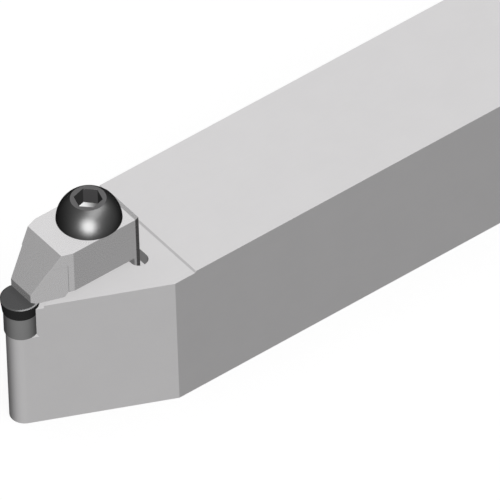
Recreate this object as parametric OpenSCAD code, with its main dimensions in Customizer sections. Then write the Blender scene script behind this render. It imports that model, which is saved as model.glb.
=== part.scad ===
// External turning tool holder with a small round insert on a shim, held by a top clamp.
// +X runs along the tool towards the tip, +Y across it and +Z up. The tool stands on z = 0,
// with the origin under the middle of its overall length.

/* [Shank] */
// Length from the rear face to the front of the insert
overall_l = 150; // [120:5:200]
// Width of the shank
shank_w = 25; // [22:1:32]
// Height of the shank, which is also the height of the cutting edge
shank_h = 25; // [22:1:32]
// Size of the bevel round the rear face
rear_bevel = 1; // [0.5:0.1:2]

/* [Head] */
// Angle of each side of the head to the tool's axis
side_a = 25; // [20:1:30]
// How far the nose column stands inside the insert's edge
nose_inset = 0.675; // [0.4:0.025:1]
// Depth of the flat on top of the head
head_drop = 0.3; // [0.2:0.01:0.5]
// Slope of the step behind the flat
step_a = 45; // [30:5:60]
// Distance from the top of that step to the heel slot
step_back = 3.69; // [2:0.01:5]
// Depth of the round land about the insert, below the flat
land_drop = 0.5; // [0.3:0.02:0.6]
// Width of the round land about the insert
land_w = 0.97; // [0.7:0.01:1.2]

/* [Insert] */
// Diameter of the round insert
insert_d = 6.35; // [5.5:0.05:8]
// Thickness of the insert
insert_t = 2.38; // [1.8:0.02:3.2]
// Clearance angle of the insert's flank
flank_a = 7; // [5:1:11]
// Width of the bevelled cutting edge
edge_w = 0.25; // [0.1:0.05:0.4]
// Slope of the bevelled cutting edge
edge_a = 20; // [10:1:30]

/* [Shim and its screw] */
// How much narrower the shim is than the insert, across the diameter
shim_less = 0.85; // [0.7:0.05:1]
// Thickness of the shim
shim_t = 4.3; // [3.5:0.1:5]
// Thread diameter of the shim screw
shim_screw_d = 2; // [1.6:0.2:2]
// Length of the shim screw
shim_screw_l = 8; // [6:1:10]
// Diameter of the shim screw's countersunk head
shim_head_d = 3.6; // [3:0.1:3.8]
// Depth of the shim screw's head below the top of the shim
shim_head_sunk = 0.3; // [0.2:0.1:0.6]
// Width across the flats of the shim screw's hexagon socket
shim_socket_af = 1.3; // [1.1:0.1:1.4]

/* [Insert pocket] */
// Gap between the pocket's seat and the insert and shim
seat_gap = 0.02; // [0.01:0.01:0.05]
// Distance from the insert's axis back to the front end of the seat
seat_back = 1.6; // [1:0.1:2.2]
// Width of the flared relief in the corner of the pocket
corner_w = 0.27; // [0.1:0.01:0.4]
// Height of the flared relief in the corner of the pocket
corner_h = 0.55; // [0.3:0.05:0.8]

/* [Clamp] */
// Distance from the insert's axis back to the clamp screw's axis
screw_back = 13.82; // [13.2:0.02:15]
// Width of the clamp
clamp_w = 10; // [9:0.5:11]
// Thickness of the clamp
clamp_h = 8; // [7:0.5:9]
// Height of the clamp's underside above the insert
foot_drop = 0.95; // [0.6:0.05:1.2]
// Distance from the screw's axis back to the rear of the heel
heel_back = 6.6; // [6.4:0.1:7.5]
// Thickness of the heel
heel_t = 1.76; // [1.2:0.02:2]
// Depth of the heel below the flat on the head
heel_depth = 2.2; // [1:0.1:3]
// Length of the bevels at the rear of the clamp
rear_run = 1.35; // [0.5:0.05:1.8]
// Fall of the bevel at the rear of the clamp's top
rear_fall = 0.96; // [0.5:0.02:2]
// Width of the bevels at the clamp's rear corners
corner_in = 1; // [0.5:0.1:1.5]
// Distance from the screw's axis to where the clamp begins to narrow
taper_at = 6.8; // [5.6:0.1:7.2]
// Angle of each narrowing side of the clamp
taper_a = 19; // [12:1:21]
// Distance from the screw's axis to the top of the slope
slope_at = 8.65; // [7:0.05:10]
// Distance from the insert's axis back to the front of the clamp's nose
nose_back = 0.24; // [0:0.02:0.8]
// Height of the front of the clamp's nose above the insert
nose_h = 1.97; // [1.2:0.01:2.6]
// Length of the bevel under the nose
nose_cut_run = 0.86; // [0.4:0.02:1.2]
// Height of the bevel under the nose
nose_cut_rise = 0.51; // [0.3:0.01:0.8]
// Length of the foot that stands on the insert
foot_l = 4.39; // [3.5:0.01:5]
// Length of the slope between the foot and the underside
foot_run = 0.65; // [0.3:0.05:1]
// Depth of the shallow relief on each narrowing side
relief_t = 0.12; // [0.06:0.01:0.2]
// Height of the shallow relief above the underside
relief_h = 5.55; // [3:0.05:6.5]

/* [Heel slot] */
// How much wider the slot is than the heel
slot_play = 1.24; // [0.9:0.02:1.6]
// How far the slot's middle lies behind the heel's middle
slot_shift = 0.31; // [0:0.01:0.35]
// How far the slot reaches past each side of the clamp
slot_side = 1; // [0.8:0.1:1.5]
// Depth of the slot below the heel
slot_under = 0.3; // [0.1:0.05:0.6]

/* [Clamp screw] */
// Thread diameter of the clamp screw
screw_d = 6; // [5:0.5:6]
// Length of the clamp screw under its head
screw_l = 25; // [20:1:25]
// Diameter of the domed head at its base
head_d = 10.5; // [9.5:0.1:11]
// Height of the domed head
head_h = 4.14; // [3.3:0.02:4.5]
// Diameter of the flat ring on top of the head
ring_d = 5.73; // [5.3:0.01:6.5]
// Width across the flats of the hexagon socket
socket_af = 4; // [3:0.5:4.5]
// Depth of the hexagon socket
socket_depth = 2.9; // [2:0.1:3]
// Angle from +X to a corner of the hexagon socket
hex_turn = 14.3; // [0:0.1:59.9]
// Gap between a screw's thread and its hole
thread_gap = 0.05; // [0.02:0.01:0.08]
// How much wider the clamp's hole is than the screw
hole_play = 0.6; // [0.4:0.1:1]

/* [Lifting spring] */
// Diameter of the spring's wire
spring_wire = 0.5; // [0.4:0.05:0.6]
// Number of turns, with the closed turn at each end
spring_turns = 5; // [4:1:6]
// Gap between the closed turns at each end of the spring
closed_gap = 0.03; // [0.02:0.01:0.05]
// Gap between the spring and the screw, and between the spring and its seat
spring_gap = 0.17; // [0.1:0.01:0.2]
// Depth of the spring's seat below the flat on the head
spring_seat_depth = 3.4; // [3:0.1:5]

/* [Hidden] */

// Colours
satin_steel = [0.80, 0.80, 0.80];
clamp_steel = [0.76, 0.76, 0.76];
dark_carbide = [0.30, 0.30, 0.31];
grey_carbide = [0.42, 0.42, 0.43];
black_steel = [0.13, 0.13, 0.14];
spring_steel = [0.55, 0.55, 0.56];

// Extra length of a cut past the face that it opens
past = 1;
// Depth of a tapped hole beyond the end of its screw
drill_end = 1.5;
// Length of the bevel at a screw's end
tip_bevel = 0.6;
// Height of the straight rim of the countersunk head
head_rim = 0.1;
// Sides of the round shapes
round_fn = 128;

// Levels
head_z = shank_h - head_drop;
land_z = head_z - land_drop;
seat_z = shank_h - insert_t;
floor_z = seat_z - shim_t;
under_z = shank_h + foot_drop;
clamp_top_z = under_z + clamp_h;
heel_z = head_z - heel_depth;
spring_seat_z = head_z - spring_seat_depth;

// Places along the tool
insert_x = overall_l / 2 - insert_d / 2;
nose_r = insert_d / 2 - nose_inset;
shoulder_x = insert_x - (shank_w / 2 - nose_r / cos(side_a)) / tan(side_a);
screw_x = insert_x - screw_back;
heel_x = screw_x - heel_back;
slot_x = heel_x + heel_t / 2 - slot_shift;
slot_w = heel_t + slot_play;
slot_l = clamp_w + 2 * slot_side;
step_x = slot_x - slot_w / 2 - step_back;

// Insert and shim
edge_drop = edge_w * tan(edge_a);
insert_base_r = insert_d / 2 - (insert_t - edge_drop) * tan(flank_a);
shim_r = (insert_d - shim_less) / 2;
shim_screw_top_z = seat_z - shim_head_sunk;
shim_cone_h = (shim_head_d - shim_screw_d) / 2;
shim_head_h = head_rim + shim_cone_h;

// Clamp, with places measured from the screw's axis
nose_at = screw_back - nose_back;
foot_end = nose_at - nose_cut_run;
foot_start = foot_end - foot_l;
relief_at = foot_start - foot_run;

// Spring
spring_r = screw_d / 2 + spring_gap + spring_wire / 2;
spring_seat_r = spring_r + spring_wire / 2 + spring_gap;
spring_h = under_z - spring_seat_z;
end_pitch = spring_wire + closed_gap;
open_pitch = (spring_h - spring_wire - 2 * end_pitch) / (spring_turns - 2);
wire_sides = 8;
rings_a_turn = 24;

// Half of the clamp's width at a distance x in front of the screw's axis
function side_y(x) = clamp_w / 2 - (x - taper_at) * tan(taper_a);

// Height of the wire's centre above its start after a number of turns
function wire_z(turn) =
    end_pitch * (min(turn, 1) + max(turn - spring_turns + 1, 0))
    + open_pitch * max(min(turn - 1, spring_turns - 2), 0);

// Holder: shank, head and nose in one piece of steel
module holder() {
    color(satin_steel)
    difference() {
        bar();
        head_flats();
        insert_pocket();
        heel_slot();
        clamp_screw_hole();
        shim_screw_hole();
        rear_bevels();
    }
}

// Bar with the tapered head and the round nose column
module bar() {
    nose_side_x = insert_x + nose_r * sin(side_a);
    nose_side_y = nose_r * cos(side_a);
    linear_extrude(height = shank_h)
    polygon([
        [-overall_l / 2, -shank_w / 2],
        [shoulder_x, -shank_w / 2],
        [nose_side_x, -nose_side_y],
        [nose_side_x, nose_side_y],
        [shoulder_x, shank_w / 2],
        [-overall_l / 2, shank_w / 2]
    ]);
    translate([insert_x, 0, 0])
    cylinder(r = nose_r, h = shank_h, $fn = round_fn);
}

// Flat on top of the head, in front of a sloped step, and the round land about the insert
module head_flats() {
    end_x = overall_l / 2 + past;
    rotate([90, 0, 0])
    linear_extrude(height = shank_w + 2 * past, center = true)
    polygon([
        [step_x + head_drop / tan(step_a), head_z],
        [step_x - past / tan(step_a), shank_h + past],
        [end_x, shank_h + past],
        [end_x, head_z]
    ]);
    translate([insert_x, 0, 0])
    bore_cut(land_z, insert_d / 2 + land_w);
}

// Round pocket, open at the front, with a seat behind the insert and the shim
module insert_pocket() {
    front_x = -seat_back;
    translate([insert_x, 0, 0]) {
        intersection() {
            union() {
                bore_cut(floor_z, insert_d / 2);
                corner_relief(insert_d / 2);
            }
            translate([front_x, -insert_d, floor_z])
            cube([2 * insert_d, 2 * insert_d, shank_h]);
        }
        bore_cut(floor_z, shim_r + seat_gap);
        corner_relief(shim_r + seat_gap);
        translate([0, 0, seat_z])
        cylinder(
            r1 = insert_base_r + seat_gap,
            r2 = insert_base_r + seat_gap + insert_t * tan(flank_a),
            h = insert_t,
            $fn = round_fn
        );
    }
}

// Cut that flares towards the pocket's floor
module corner_relief(radius) {
    translate([0, 0, floor_z])
    cylinder(r1 = radius + corner_w, r2 = radius, h = corner_h, $fn = round_fn);
}

module bore_cut(from_z, radius) {
    translate([0, 0, from_z])
    cylinder(r = radius, h = shank_h - from_z + past, $fn = round_fn);
}

// Slot across the head for the clamp's heel
module heel_slot() {
    slot_z = heel_z - slot_under;
    end_y = slot_l / 2 - slot_w / 2;
    translate([slot_x, 0, 0]) {
        for (side = [-1, 1])
            translate([0, side * end_y, 0])
            bore_cut(slot_z, slot_w / 2);
        translate([-slot_w / 2, -end_y, slot_z])
        cube([slot_w, 2 * end_y, shank_h - slot_z + past]);
    }
}

// Tapped hole for the clamp screw, with the spring's seat at its mouth
module clamp_screw_hole() {
    translate([screw_x, 0, 0]) {
        bore_cut(clamp_top_z - screw_l - drill_end, screw_d / 2 + thread_gap);
        bore_cut(spring_seat_z, spring_seat_r);
    }
}

module shim_screw_hole() {
    translate([insert_x, 0, 0])
    bore_cut(shim_screw_top_z - shim_screw_l - drill_end, shim_screw_d / 2 + thread_gap);
}

// Bevels on the four edges of the rear face
module rear_bevels() {
    cut = rear_bevel * sqrt(2);
    for (side = [-1, 1])
        translate([-overall_l / 2, side * shank_w / 2, shank_h / 2])
        rotate([0, 0, 45])
        cube([cut, cut, shank_h + 2 * past], center = true);
    for (level = [0, shank_h])
        translate([-overall_l / 2, 0, level])
        rotate([0, 45, 0])
        cube([cut, shank_w + 2 * past, cut], center = true);
}

// Round insert with a relieved flank and a bevelled cutting edge
module insert() {
    color(dark_carbide)
    translate([insert_x, 0, seat_z])
    rotate_extrude($fn = round_fn)
    polygon([
        [0, 0],
        [insert_base_r, 0],
        [insert_d / 2, insert_t - edge_drop],
        [insert_d / 2 - edge_w, insert_t],
        [0, insert_t]
    ]);
}

// Round shim under the insert, countersunk for its screw
module shim() {
    head_r = shim_head_d / 2 + seat_gap;
    cone_z = shim_screw_top_z - shim_head_h;
    color(grey_carbide)
    translate([insert_x, 0, 0])
    difference() {
        translate([0, 0, floor_z])
        cylinder(r = shim_r, h = shim_t, $fn = round_fn);
        bore_cut(floor_z - past, shim_screw_d / 2 + thread_gap);
        translate([0, 0, cone_z])
        cylinder(r1 = head_r - shim_cone_h, r2 = head_r, h = shim_cone_h, $fn = round_fn);
        bore_cut(cone_z + shim_cone_h, head_r);
    }
}

// Countersunk screw that holds the shim on the pocket's floor
module shim_screw() {
    screw_r = shim_screw_d / 2;
    color(black_steel)
    translate([insert_x, 0, shim_screw_top_z])
    difference() {
        union() {
            translate([0, 0, -shim_screw_l])
            pointed_rod(screw_r, shim_screw_l);
            translate([0, 0, -shim_head_h])
            cylinder(r1 = screw_r, r2 = shim_head_d / 2, h = shim_cone_h, $fn = round_fn);
            translate([0, 0, -head_rim])
            cylinder(d = shim_head_d, h = head_rim, $fn = round_fn);
        }
        translate([0, 0, -shim_head_h])
        hexagon(shim_socket_af, shim_head_h + past);
    }
}

// Round rod standing on its bevelled end
module pointed_rod(radius, height) {
    bevel = min(tip_bevel, radius / 2);
    cylinder(r1 = radius - bevel, r2 = radius, h = bevel, $fn = round_fn);
    translate([0, 0, bevel])
    cylinder(r = radius, h = height - bevel, $fn = round_fn);
}

module hexagon(across_flats, height) {
    cylinder(d = across_flats / cos(30), h = height, $fn = 6);
}

// Top clamp: heel at the rear, foot and nose on the insert at the front
module clamp() {
    color(clamp_steel)
    translate([screw_x, 0, 0])
    difference() {
        intersection() {
            clamp_side();
            clamp_plan();
        }
        translate([0, 0, under_z - past])
        cylinder(d = screw_d + hole_play, h = clamp_h + 2 * past, $fn = round_fn);
        for (side = [-1, 1])
            scale([1, side, 1])
            side_relief();
    }
}

// The clamp's outline seen from the side
module clamp_side() {
    rotate([90, 0, 0])
    linear_extrude(height = clamp_w, center = true)
    polygon([
        [-heel_back, heel_z],
        [-heel_back + heel_t, heel_z],
        [-heel_back + heel_t, under_z],
        [relief_at, under_z],
        [foot_start, shank_h],
        [foot_end, shank_h],
        [nose_at, shank_h + nose_cut_rise],
        [nose_at, shank_h + nose_h],
        [slope_at, clamp_top_z],
        [-heel_back + rear_run, clamp_top_z],
        [-heel_back, clamp_top_z - rear_fall]
    ]);
}

// The clamp's outline seen from above
module clamp_plan() {
    half_w = clamp_w / 2;
    translate([0, 0, heel_z])
    linear_extrude(height = clamp_top_z - heel_z)
    polygon([
        [-heel_back, corner_in - half_w],
        [-heel_back + rear_run, -half_w],
        [taper_at, -half_w],
        [nose_at, -side_y(nose_at)],
        [nose_at, side_y(nose_at)],
        [taper_at, half_w],
        [-heel_back + rear_run, half_w],
        [-heel_back, half_w - corner_in]
    ]);
}

// Thin slice that a shallow relief takes off one narrowing side
module side_relief() {
    cut_in = relief_t / cos(taper_a);
    end_at = nose_at + past;
    translate([0, 0, shank_h - past])
    linear_extrude(height = foot_drop + relief_h + past)
    polygon([
        [relief_at, side_y(relief_at) - cut_in],
        [end_at, side_y(end_at) - cut_in],
        [end_at, clamp_w],
        [relief_at, clamp_w]
    ]);
}

// Button head screw with a hexagon socket
module clamp_screw() {
    color(black_steel)
    translate([screw_x, 0, clamp_top_z])
    difference() {
        union() {
            domed_head();
            translate([0, 0, -screw_l])
            pointed_rod(screw_d / 2, screw_l);
        }
        translate([0, 0, head_h - socket_depth])
        rotate([0, 0, hex_turn])
        hexagon(socket_af, socket_depth + past);
    }
}

// Part of a sphere between the head's base and its flat ring
module domed_head() {
    base_r = head_d / 2;
    ring_r = ring_d / 2;
    centre_z = (pow(head_h, 2) + pow(ring_r, 2) - pow(base_r, 2)) / (2 * head_h);
    dome_r = sqrt(pow(base_r, 2) + pow(centre_z, 2));
    intersection() {
        translate([0, 0, centre_z])
        sphere(r = dome_r, $fn = round_fn);
        translate([-head_d, -head_d, 0])
        cube([2 * head_d, 2 * head_d, head_h]);
    }
}

// Spring that lifts the clamp when its screw is loosened
module clamp_spring() {
    rings = spring_turns * rings_a_turn;
    wire_r = spring_wire / 2;
    points = [
        for (ring = [0 : rings])
        for (side = [0 : wire_sides - 1])
        let (
            turn = ring / rings_a_turn,
            angle = 360 * side / wire_sides,
            reach = spring_r + wire_r * cos(angle)
        )
        [reach * cos(360 * turn), reach * sin(360 * turn), wire_z(turn) + wire_r * sin(angle)]
    ];
    walls = [
        for (ring = [0 : rings - 1])
        for (side = [0 : wire_sides - 1])
        let (
            here = ring * wire_sides + side,
            beside = ring * wire_sides + (side + 1) % wire_sides
        )
        [here, beside, beside + wire_sides, here + wire_sides]
    ];
    start_face = [for (side = [wire_sides - 1 : -1 : 0]) side];
    end_face = [for (side = [0 : wire_sides - 1]) rings * wire_sides + side];
    color(spring_steel)
    translate([screw_x, 0, spring_seat_z + wire_r])
    polyhedron(points = points, faces = concat(walls, [start_face], [end_face]));
}

holder();
insert();
shim();
shim_screw();
clamp();
clamp_screw();
clamp_spring();
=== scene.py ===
"""Turning tool holder: materials, threaded screw, spring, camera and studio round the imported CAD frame."""
import math

import bmesh
import bpy
from mathutils import Matrix, Vector


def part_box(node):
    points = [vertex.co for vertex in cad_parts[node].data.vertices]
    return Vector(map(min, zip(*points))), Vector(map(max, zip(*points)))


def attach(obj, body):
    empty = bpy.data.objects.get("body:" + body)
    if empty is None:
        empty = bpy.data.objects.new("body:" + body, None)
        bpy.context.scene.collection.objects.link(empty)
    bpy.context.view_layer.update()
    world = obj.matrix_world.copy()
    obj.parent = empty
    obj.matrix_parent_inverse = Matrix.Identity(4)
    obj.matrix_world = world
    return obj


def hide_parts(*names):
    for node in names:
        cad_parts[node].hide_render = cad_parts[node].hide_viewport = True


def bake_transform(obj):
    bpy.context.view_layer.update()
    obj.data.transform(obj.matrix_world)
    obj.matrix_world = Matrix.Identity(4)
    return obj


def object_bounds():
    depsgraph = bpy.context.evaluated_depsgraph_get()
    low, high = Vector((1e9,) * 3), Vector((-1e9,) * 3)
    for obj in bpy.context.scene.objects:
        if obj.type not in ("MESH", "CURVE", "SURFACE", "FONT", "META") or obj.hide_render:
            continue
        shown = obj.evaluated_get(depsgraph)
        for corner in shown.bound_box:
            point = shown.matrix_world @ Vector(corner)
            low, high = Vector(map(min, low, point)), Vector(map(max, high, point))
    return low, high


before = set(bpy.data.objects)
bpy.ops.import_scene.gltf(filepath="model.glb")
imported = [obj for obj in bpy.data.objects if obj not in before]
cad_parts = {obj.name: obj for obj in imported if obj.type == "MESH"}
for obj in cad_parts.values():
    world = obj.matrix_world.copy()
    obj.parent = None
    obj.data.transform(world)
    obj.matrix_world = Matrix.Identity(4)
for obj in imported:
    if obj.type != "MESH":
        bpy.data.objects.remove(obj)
cad_low, cad_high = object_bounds()

# A millimetre in the scene's metres
MM = 0.001

# Camera: the photograph has parallel edges, so the lens is very long and stands far off
VIEW_AZIMUTH = math.radians(144.16)
VIEW_ELEVATION = math.radians(43.55)
VIEW_ROLL = math.radians(-2.0)
VIEW_WIDTH = 78.0 * MM
VIEW_CENTRE = Vector((cad_high.x - 35.66 * MM, 16.70 * MM, 28.19 * MM))
LENS_MM = 1500.0
SENSOR_MM = 36.0
CLIP_START = 0.01
CLIP_END = 100.0

# Studio light: an even fall-off from the key direction, kept between two limits
KEY_DIRECTION = Vector((0.293, 0.370, 0.882)).normalized()
KEY_LEVEL = 0.662
KEY_CONTRAST = 0.717
DARKEST = 0.03
BRIGHTEST = 1.08

# Patches on that light, which tune the tone of single faces: a dark flag ahead, a pale panel behind and
# a reflector below. Each has its direction, the cosines at its outer and inner edge and the light it adds
FLAG = (Vector((0.79, -0.587, 0.169)).normalized(), 0.72, 0.97, -0.36)
PANEL = (Vector((-0.79, -0.5875, -0.174)).normalized(), 0.92, 0.99, 0.2)
REFLECTOR = (Vector((0.42, 0.58, -0.69)).normalized(), 0.3, 0.95, 0.09)

# Lamps that light one piece only: direction, size across and up, watts
LAMP_DISTANCE = 0.6
SCREW_LAMPS = {
    "side_lamp": (Vector((0.595, 0.756, 0.275)), (0.50, 0.54), 14.5),
    "high_lamp": (Vector((0.0, 0.52, 0.85)), (0.54, 0.40), 3.9),
    "rear_lamp": (Vector((-0.52, 0.34, 0.78)), (0.36, 0.26), 1.3),
}
INSERT_LAMPS = {
    "top_lamp": (Vector((-0.36, -0.13, 0.92)), (0.44, 0.14), 1.8),
}

# Floor, and the wall that stands round it
FLOOR_REACH = 40.0
FLOOR_GAP = 0.02 * MM
FLOOR_MATT = 0.3
FLOOR_GLOW = 0.74
WALL_R = 30.0
WALL_H = 60.0
WALL_SIDES = 48
WALL_GLOW = 1.0

# Noises of the materials: scale and detail of each, and the spans that their values mostly keep to
CLOUD = (160.0, 5.0)
GRAIN = (9000.0, 3.0)
STREAK = (220.0, 4.0)
STREAK_STRETCH = 40.0
NOISE_ROUGHNESS = 0.55
NARROW_SPAN = (0.3, 0.7)
WIDE_SPAN = (0.25, 0.75)

# Surface of the metals: depth of the grain, play in the roughness, quality of the rounded edges, and the
# upward part of the normal on faces that count as upright and as level for the painted shade of upright
# faces
GRAIN_DEPTH = 0.02 * MM
ROUGHNESS_PLAY = 0.02
BEVEL_SAMPLES = 8
UPRIGHT = 0.2
LEVEL = 0.7

# The metals: grain is the strength of the bump, mottle and lines say how much the shade varies, edge is
# the radius of the rounding, rim the tint at a grazing angle and painted_side_shade that of upright faces, a
# painted shade
METALS = {
    "satin_steel": dict(
        colour=(0.775, 0.765, 0.770), roughness=0.36, grain=0.10, mottle=0.008, lines=0.006
    ),
    "clamp_steel": dict(
        colour=(0.80, 0.79, 0.796), roughness=0.27, grain=0.10, mottle=0.008
    ),
    # The insert's upright faces take a darker colour than its top: painted shade
    "dark_carbide": dict(
        colour=(0.081, 0.081, 0.082), roughness=0.28, grain=0.06, mottle=0.03,
        painted_side_shade=(0.042, 0.042, 0.043), edge=0.02 * MM,
    ),
    "shim_carbide": dict(
        colour=(0.315, 0.315, 0.315), roughness=0.34, grain=0.08, mottle=0.03
    ),
    "black_oxide": dict(
        colour=(0.053, 0.053, 0.053), roughness=0.38, grain=0.05, mottle=0.03, edge=0.02 * MM, rim=0.25
    ),
    # A lighter copy of the black oxide for the screw's flat ring: painted light
    "ring_oxide_painted_light": dict(
        colour=(0.150, 0.148, 0.150), roughness=0.3, grain=0.05, mottle=0.03, edge=0.01 * MM, rim=0.25
    ),
    # A lighter copy of the black oxide for the socket's walls: painted light
    "socket_oxide_painted_light": dict(
        colour=(0.100, 0.098, 0.100), roughness=0.22, grain=0.05, mottle=0.03, edge=0.002 * MM
    ),
    "spring_wire": dict(
        colour=(0.55, 0.55, 0.56), roughness=0.25, grain=0.05, mottle=0.03, edge=0.01 * MM
    ),
}

# Clamp screw
SCREW_AXIS = (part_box("clamp_screw")[0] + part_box("clamp_screw")[1]) / 2
HEAD_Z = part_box("clamp")[1].z
HEAD_R = 5.25 * MM
HEAD_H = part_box("clamp_screw")[1].z - HEAD_Z
DOME_STEPS = 24
RING_R = 2.865 * MM
SOCKET_FLAT = 2.0 * MM
SOCKET_DEPTH = 2.9 * MM
SOCKET_TURN = math.radians(14.3)
SCREW_SIDES = 96
SCREW_ANGLES = [SOCKET_TURN + math.tau * i / SCREW_SIDES for i in range(SCREW_SIDES)]
SCREW_SHARP_ANGLE = math.radians(28)
DOME_SLOT, RING_SLOT, SOCKET_SLOT, SOCKET_FLOOR_SLOT = range(4)

# Painted highlight on the floor of its socket, fading from light to dark along a direction, measured from
# the screw's axis, with a noise that darkens it by up to its play
PAINTED_HIGHLIGHT_DIRECTION = Vector((-0.796, 0.605, 0.0))
PAINTED_HIGHLIGHT_START = -0.85 * MM
PAINTED_HIGHLIGHT_END = 1.4 * MM
PAINTED_HIGHLIGHT_LIGHT = 0.62
PAINTED_HIGHLIGHT_DARK = 0.12
PAINTED_HIGHLIGHT_NOISE = (5000.0, 4.0)
PAINTED_HIGHLIGHT_PLAY = 0.1
PAINTED_HIGHLIGHT_ROUGHNESS = 0.5

# Thread of its shank. Half of the root's width and the width of a flank are shares of the pitch
THREAD_R = 3.0 * MM
THREAD_DEPTH = 0.55 * MM
THREAD_PITCH = 1.0 * MM
THREAD_HALF_ROOT = 0.125
THREAD_FLANK = 0.3125
THREAD_STEPS_A_PITCH = 16
THREAD_RUNOUT = 1.2 * MM
THREAD_FADE = 0.5 * MM
TIP_BEVEL = 0.6 * MM
TIP_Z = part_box("clamp_screw")[0].z

# Lifting spring
SPRING_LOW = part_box("clamp_spring")[0].z
SPRING_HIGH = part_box("clamp_spring")[1].z
SPRING_WIRE = 0.5 * MM
SPRING_R = (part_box("clamp_spring")[1].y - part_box("clamp_spring")[0].y) / 2 - SPRING_WIRE / 2
SPRING_TURNS = 5
SPRING_CLOSED = 0.53 * MM
SPRING_RINGS_A_TURN = 48
SPRING_SIDES = 16
SPRING_SHARP_ANGLE = math.radians(60)


def make_camera():
    """A camera that looks at the centre of the photograph's frame."""
    back = Vector((
        math.sin(VIEW_AZIMUTH) * math.cos(VIEW_ELEVATION),
        -math.cos(VIEW_AZIMUTH) * math.cos(VIEW_ELEVATION),
        math.sin(VIEW_ELEVATION),
    ))
    level = Vector((math.cos(VIEW_AZIMUTH), math.sin(VIEW_AZIMUTH), 0))
    upright = back.cross(level)
    right = level * math.cos(VIEW_ROLL) + upright * math.sin(VIEW_ROLL)
    up = back.cross(right)
    distance = VIEW_WIDTH * LENS_MM / SENSOR_MM
    data = bpy.data.cameras.new("camera")
    data.lens = LENS_MM
    data.sensor_width = SENSOR_MM
    data.clip_start = CLIP_START
    data.clip_end = CLIP_END
    camera = bpy.data.objects.new("camera", data)
    turn = Matrix((right, up, back)).transposed().to_4x4()
    camera.matrix_world = Matrix.Translation(VIEW_CENTRE + back * distance) @ turn
    bpy.context.scene.collection.objects.link(camera)
    bpy.context.scene.camera = camera


class Shader:
    """Short helpers for building the node tree of a material or world."""

    def __init__(self, owner):
        """Starts the owner's node tree afresh."""
        owner.use_nodes = True
        self.tree = owner.node_tree
        self.tree.nodes.clear()

    def node(self, kind, inputs=None, **settings):
        """Adds a node. A value in inputs is a number, a colour or the socket that feeds it."""
        made = self.tree.nodes.new(kind)
        for name, value in settings.items():
            setattr(made, name, value)
        for name, value in (inputs or {}).items():
            if isinstance(value, bpy.types.NodeSocket):
                self.tree.links.new(value, made.inputs[name])
            else:
                made.inputs[name].default_value = value
        return made

    def maths(self, operation, a, b):
        """A Math node's result."""
        return self.node("ShaderNodeMath", {0: a, 1: b}, operation=operation).outputs[0]

    def dot(self, a, b):
        """The dot product of two vectors."""
        product = self.node("ShaderNodeVectorMath", {0: a, 1: b}, operation="DOT_PRODUCT")
        return product.outputs["Value"]

    def ranged(self, value, low, high, to_low, to_high):
        """The value mapped smoothly from one range to another."""
        return self.node(
            "ShaderNodeMapRange",
            {"Value": value, "From Min": low, "From Max": high, "To Min": to_low, "To Max": to_high},
            interpolation_type="SMOOTHSTEP",
        ).outputs["Result"]

    def varied(self, noise, span, centre, play):
        """A noise whose span is mapped to a play on both sides of a centre."""
        return self.ranged(noise, *span, centre - play, centre + play)

    def mix(self, factor, a, b, blend="MIX"):
        """Two colours mixed by a factor."""
        return self.node(
            "ShaderNodeMix", {"Factor": factor, 6: a, 7: b}, data_type="RGBA", blend_type=blend
        ).outputs[2]

    def noise(self, place, scale, detail):
        """A noise texture's value."""
        return self.node(
            "ShaderNodeTexNoise",
            {"Vector": place, "Scale": scale, "Detail": detail, "Roughness": NOISE_ROUGHNESS},
        ).outputs["Fac"]

    def surface(self, node):
        """Makes a node's shader the material's surface."""
        self.node("ShaderNodeOutputMaterial", {"Surface": node.outputs[0]})


def grey(value):
    """An opaque grey."""
    return (value, value, value, 1.0)


def make_world():
    """A soft studio light that falls off from the key direction, with the patches added."""
    world = bpy.data.worlds.new("studio")
    s = Shader(world)
    direction = s.node("ShaderNodeTexCoord").outputs["Generated"]
    facing_key = s.dot(direction, KEY_DIRECTION)
    light = s.maths("ADD", s.maths("MULTIPLY", facing_key, KEY_CONTRAST), KEY_LEVEL)
    light = s.maths("MINIMUM", s.maths("MAXIMUM", light, DARKEST), BRIGHTEST)
    for towards, outer, inner, amount in (FLAG, PANEL, REFLECTOR):
        patch = s.ranged(s.dot(direction, towards), outer, inner, 0.0, amount)
        light = s.maths("ADD", light, patch)
    light = s.maths("MAXIMUM", light, DARKEST)
    background = s.node("ShaderNodeBackground", {"Color": grey(1.0), "Strength": light})
    s.node("ShaderNodeOutputWorld", {"Surface": background.outputs[0]})
    bpy.context.scene.world = world


def studio_white(name, glow, matt=0.0):
    """A white that glows evenly, and that also takes light and shadow if it is matt."""
    material = bpy.data.materials.new(name)
    s = Shader(material)
    white = s.node("ShaderNodeEmission", {"Color": grey(1.0), "Strength": glow})
    if matt:
        diffuse = s.node("ShaderNodeBsdfDiffuse", {"Color": grey(matt)})
        white = s.node("ShaderNodeAddShader", {0: diffuse.outputs[0], 1: white.outputs[0]})
    s.surface(white)
    return material


def stage_piece(name, mesh, material, z=0.0):
    """Puts up a part of the studio, which throws no light on the tool and shows in no reflection."""
    mesh.materials.append(material)
    piece = bpy.data.objects.new(name, mesh)
    piece.location.z = z
    piece.visible_diffuse = False
    piece.visible_glossy = False
    bpy.context.scene.collection.objects.link(piece)
    return piece


def make_floor():
    """A plain white floor, which shows the tool's soft shadow."""
    mesh = bpy.data.meshes.new("floor")
    reach = FLOOR_REACH
    corners = [(-reach, -reach, 0), (reach, -reach, 0), (reach, reach, 0), (-reach, reach, 0)]
    mesh.from_pydata(corners, [], [(0, 1, 2, 3)])
    stage_piece("floor", mesh, studio_white("floor", FLOOR_GLOW, FLOOR_MATT), cad_low.z - FLOOR_GAP)


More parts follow.
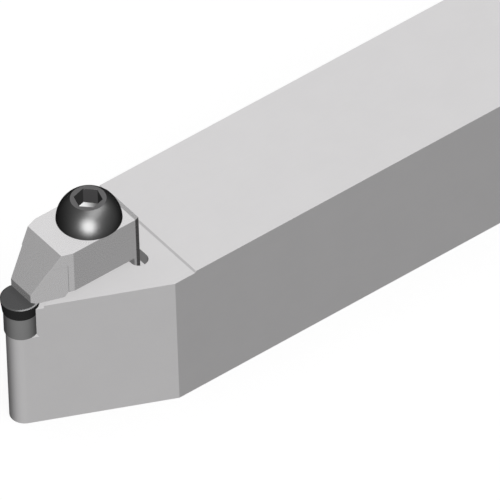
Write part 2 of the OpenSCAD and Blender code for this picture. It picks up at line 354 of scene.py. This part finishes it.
def make_backdrop():
    """A white wall round the floor, for low views. Only the camera sees it."""
    mesh = bpy.data.meshes.new("backdrop")
    bm = bmesh.new()
    bmesh.ops.create_cone(bm, segments=WALL_SIDES, radius1=WALL_R, radius2=WALL_R, depth=WALL_H)
    bm.to_mesh(mesh)
    bm.free()
    backdrop = stage_piece("backdrop", mesh, studio_white("backdrop", WALL_GLOW))
    backdrop.visible_transmission = False
    backdrop.visible_volume_scatter = False
    backdrop.visible_shadow = False


def make_lamps(lamps, piece):
    """Soft lamps that light one piece only, whose reflections are its highlights."""
    for name, (direction, size, watts) in lamps.items():
        towards = direction.normalized()
        data = bpy.data.lights.new(name, "AREA")
        data.shape = "ELLIPSE"
        data.size, data.size_y = size
        data.energy = watts
        lamp = bpy.data.objects.new(name, data)
        lamp.location = SCREW_AXIS + towards * LAMP_DISTANCE
        across = (Vector((1, 0, 0)) - towards * towards.x).normalized()
        turn = Matrix((across, towards.cross(across), towards)).transposed()
        lamp.rotation_euler = turn.to_euler()
        lamp.visible_camera = False
        receivers = bpy.data.collections.new(name + "_receivers")
        receivers.objects.link(piece)
        lamp.light_linking.receiver_collection = receivers
        bpy.context.scene.collection.objects.link(lamp)


def metal(
    name, colour, roughness, grain, mottle, lines=0.0, painted_side_shade=None, edge=0.03 * MM, rim=1.0
):
    """A metal with a fine grain, soft mottling, faint grinding lines, slightly rounded edges and, if given,
    painted shade on its upright faces.
    """
    material = bpy.data.materials.new(name)
    s = Shader(material)
    place = s.node("ShaderNodeTexCoord").outputs["Object"]
    stretched = s.node(
        "ShaderNodeMapping", {"Vector": place, "Scale": (1.0, STREAK_STRETCH, STREAK_STRETCH)}
    ).outputs["Vector"]
    cloud = s.noise(place, *CLOUD)
    fine = s.noise(place, *GRAIN)
    streak = s.noise(stretched, *STREAK)

    shade = s.varied(cloud, NARROW_SPAN, 1.0, mottle)
    shade = s.maths("MULTIPLY", shade, s.varied(fine, WIDE_SPAN, 1.0, mottle / 2))
    shade = s.maths("MULTIPLY", shade, s.varied(streak, NARROW_SPAN, 1.0, lines))
    base = (*colour, 1.0)
    # Painted shade: upright faces take a darker colour than level ones
    if painted_side_shade:
        normal = s.node("ShaderNodeNewGeometry").outputs["Normal"]
        upward = s.node("ShaderNodeSeparateXYZ", {0: normal}).outputs["Z"]
        base = s.mix(s.ranged(upward, UPRIGHT, LEVEL, 0.0, 1.0), (*painted_side_shade, 1.0), base)
    rough = s.maths("ADD", s.varied(fine, NARROW_SPAN, 0.0, ROUGHNESS_PLAY), roughness)
    rough = s.maths("ADD", rough, s.varied(streak, NARROW_SPAN, 0.0, lines))

    rounded = s.node("ShaderNodeBevel", {"Radius": edge}, samples=BEVEL_SAMPLES).outputs["Normal"]
    bump = s.node(
        "ShaderNodeBump",
        {"Strength": grain, "Distance": GRAIN_DEPTH, "Height": fine, "Normal": rounded},
    ).outputs["Normal"]
    s.surface(s.node("ShaderNodeBsdfPrincipled", {
        "Base Color": s.mix(1.0, base, shade, "MULTIPLY"),
        "Metallic": 1.0,
        "Roughness": rough,
        "Specular Tint": grey(rim),
        "Normal": bump,
    }))
    return material


def socket_floor_painted_highlight():
    """The socket's floor: a painted highlight that runs across it from light to dark, tuned to the
    photograph.
    """
    material = bpy.data.materials.new("socket_floor")
    s = Shader(material)
    place = s.node("ShaderNodeTexCoord").outputs["Object"]
    centre = SCREW_AXIS.dot(PAINTED_HIGHLIGHT_DIRECTION)
    # Painted highlight: the floor's colour runs from light to dark across it
    light = s.ranged(
        s.dot(place, PAINTED_HIGHLIGHT_DIRECTION), centre + PAINTED_HIGHLIGHT_START, centre + PAINTED_HIGHLIGHT_END, 1.0, 0.0
    )
    speckle = s.ranged(s.noise(place, *PAINTED_HIGHLIGHT_NOISE), *NARROW_SPAN, 1.0 - PAINTED_HIGHLIGHT_PLAY, 1.0)
    colour = s.mix(s.maths("MULTIPLY", light, speckle), grey(PAINTED_HIGHLIGHT_DARK), grey(PAINTED_HIGHLIGHT_LIGHT))
    s.surface(s.node("ShaderNodeBsdfPrincipled", {"Base Color": colour, "Roughness": PAINTED_HIGHLIGHT_ROUGHNESS}))
    return material


def finish_mesh(name, bm, sharp_angle):
    """Makes an object of the mesh, with smooth faces that meet in sharp edges above an angle."""
    bmesh.ops.recalc_face_normals(bm, faces=bm.faces)
    for face in bm.faces:
        face.smooth = True
    for edge in bm.edges:
        edge.smooth = len(edge.link_faces) == 2 and edge.calc_face_angle() < sharp_angle
    mesh = bpy.data.meshes.new(name)
    bm.to_mesh(mesh)
    bm.free()
    piece = bpy.data.objects.new(name, mesh)
    bpy.context.scene.collection.objects.link(piece)
    return piece


def add_rings(bm, rings, slots=None):
    """Joins closed rings of points with quads, with a material slot for each gap between rings."""
    rows = [[bm.verts.new(point) for point in ring] for ring in rings]
    for gap, (low, high) in enumerate(zip(rows, rows[1:])):
        for i in range(len(low)):
            j = (i + 1) % len(low)
            face = bm.faces.new((low[i], low[j], high[j], high[i]))
            if slots:
                face.material_index = slots[gap]
    return rows


def screw_ring(radii, z):
    """A ring of points round the screw's axis, with a radius for each of its angles."""
    return [
        (SCREW_AXIS.x + radius * math.cos(a), SCREW_AXIS.y + radius * math.sin(a), z)
        for a, radius in zip(SCREW_ANGLES, radii)
    ]


def thread_radius(a, z):
    """The shank's radius: a thread that starts at the bevelled tip and runs out under the head."""
    phase = (z / THREAD_PITCH - a / math.tau) % 1.0
    height = min(1.0, max(0.0, (abs(phase - 0.5) - THREAD_HALF_ROOT) / THREAD_FLANK))
    runout = max(0.0, z - (HEAD_Z - THREAD_RUNOUT)) / THREAD_FADE
    least = THREAD_R - THREAD_DEPTH * max(0.0, 1.0 - runout)
    most = THREAD_R - TIP_BEVEL + max(0.0, z - TIP_Z)
    return min(max(THREAD_R - THREAD_DEPTH * (1.0 - height), least), most)


def shank_rings():
    """The threaded shank, from its tip up to the head."""
    steps = int(round((HEAD_Z - TIP_Z) / (THREAD_PITCH / THREAD_STEPS_A_PITCH)))
    levels = [TIP_Z + (HEAD_Z - TIP_Z) * i / steps for i in range(steps + 1)]
    return [screw_ring([thread_radius(a, z) for a in SCREW_ANGLES], z) for z in levels]


def dome_rings():
    """The head's dome, from the clamp up to the flat ring."""
    centre_z = (HEAD_H ** 2 + RING_R ** 2 - HEAD_R ** 2) / (2 * HEAD_H)
    dome_r = math.hypot(HEAD_R, centre_z)
    low_angle = math.asin(-centre_z / dome_r)
    high_angle = math.asin((HEAD_H - centre_z) / dome_r)
    rings = []
    for i in range(DOME_STEPS + 1):
        lift = low_angle + (high_angle - low_angle) * i / DOME_STEPS
        radii = [dome_r * math.cos(lift)] * SCREW_SIDES
        rings.append(screw_ring(radii, HEAD_Z + centre_z + dome_r * math.sin(lift)))
    return rings


def socket_rings():
    """The hexagon socket, from its mouth in the flat ring down to its floor."""
    side = math.radians(60)
    radii = [SOCKET_FLAT / math.cos((a - SOCKET_TURN) % side - side / 2) for a in SCREW_ANGLES]
    top = HEAD_Z + HEAD_H
    return [screw_ring(radii, top), screw_ring(radii, top - SOCKET_DEPTH)]


def make_clamp_screw():
    """Button head screw: threaded shank, dome, flat ring and hexagon socket."""
    outside = shank_rings() + dome_rings()
    slots = [DOME_SLOT] * (len(outside) - 1) + [RING_SLOT, SOCKET_SLOT]
    bm = bmesh.new()
    rows = add_rings(bm, outside + socket_rings(), slots)
    floor = bm.verts.new((SCREW_AXIS.x, SCREW_AXIS.y, HEAD_Z + HEAD_H - SOCKET_DEPTH))
    tip = bm.verts.new((SCREW_AXIS.x, SCREW_AXIS.y, TIP_Z))
    for i in range(SCREW_SIDES):
        j = (i + 1) % SCREW_SIDES
        bm.faces.new((rows[-1][i], rows[-1][j], floor)).material_index = SOCKET_FLOOR_SLOT
        bm.faces.new((rows[0][j], rows[0][i], tip))
    return finish_mesh("clamp_screw_threaded", bm, SCREW_SHARP_ANGLE)


def make_spring():
    """Compression spring of round wire, whose end turns are closed."""
    wire_r = SPRING_WIRE / 2
    open_turns = SPRING_TURNS - 2
    open_pitch = (SPRING_HIGH - SPRING_LOW - SPRING_WIRE - 2 * SPRING_CLOSED) / open_turns
    rings = []
    for ring in range(SPRING_TURNS * SPRING_RINGS_A_TURN + 1):
        turn = ring / SPRING_RINGS_A_TURN
        closed = min(turn, 1.0) + max(turn - SPRING_TURNS + 1, 0.0)
        opened = max(min(turn - 1, open_turns), 0.0)
        z = SPRING_LOW + wire_r + SPRING_CLOSED * closed + open_pitch * opened
        a = math.tau * turn
        points = []
        for side in range(SPRING_SIDES):
            b = math.tau * side / SPRING_SIDES
            reach = SPRING_R + wire_r * math.cos(b)
            x = SCREW_AXIS.x + reach * math.cos(a)
            points.append((x, reach * math.sin(a), z + wire_r * math.sin(b)))
        rings.append(points)
    bm = bmesh.new()
    rows = add_rings(bm, rings)
    bm.faces.new(list(reversed(rows[0])))
    bm.faces.new(rows[-1])
    return finish_mesh("spring_coil", bm, SPRING_SHARP_ANGLE)


def dress(piece, *materials):
    """Gives a piece its materials, and keeps it out of the reflections on the other pieces."""
    if piece.data.materials:
        piece.data.materials.clear()
    for material in materials:
        piece.data.materials.append(material)
    piece.visible_glossy = False


def make_pieces():
    """Materials for the CAD nodes, the pieces that replace two of them, and the lamps."""
    metals = {name: metal(name, **look) for name, look in METALS.items()}
    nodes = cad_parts
    dress(nodes["holder"], metals["satin_steel"])
    dress(nodes["clamp"], metals["clamp_steel"])
    dress(nodes["insert"], metals["dark_carbide"])
    dress(nodes["shim"], metals["shim_carbide"])
    dress(nodes["shim_screw"], metals["black_oxide"])
    dress(nodes["clamp_screw"], metals["black_oxide"])
    dress(nodes["clamp_spring"], metals["spring_wire"])

    screw = make_clamp_screw()
    # The ring and the socket's walls take lighter copies of the black oxide: painted light
    head_metals = metals["black_oxide"], metals["ring_oxide_painted_light"], metals["socket_oxide_painted_light"]
    dress(screw, *head_metals, socket_floor_painted_highlight())
    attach(screw, "clamp_screw")
    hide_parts("clamp_screw")

    spring = make_spring()
    dress(spring, metals["spring_wire"])
    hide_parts("clamp_spring")
    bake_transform(spring)

    make_lamps(SCREW_LAMPS, screw)
    make_lamps(INSERT_LAMPS, nodes["insert"])


make_camera()
make_world()
make_floor()
make_backdrop()
make_pieces()
bpy.context.scene.view_settings.view_transform = "Standard"
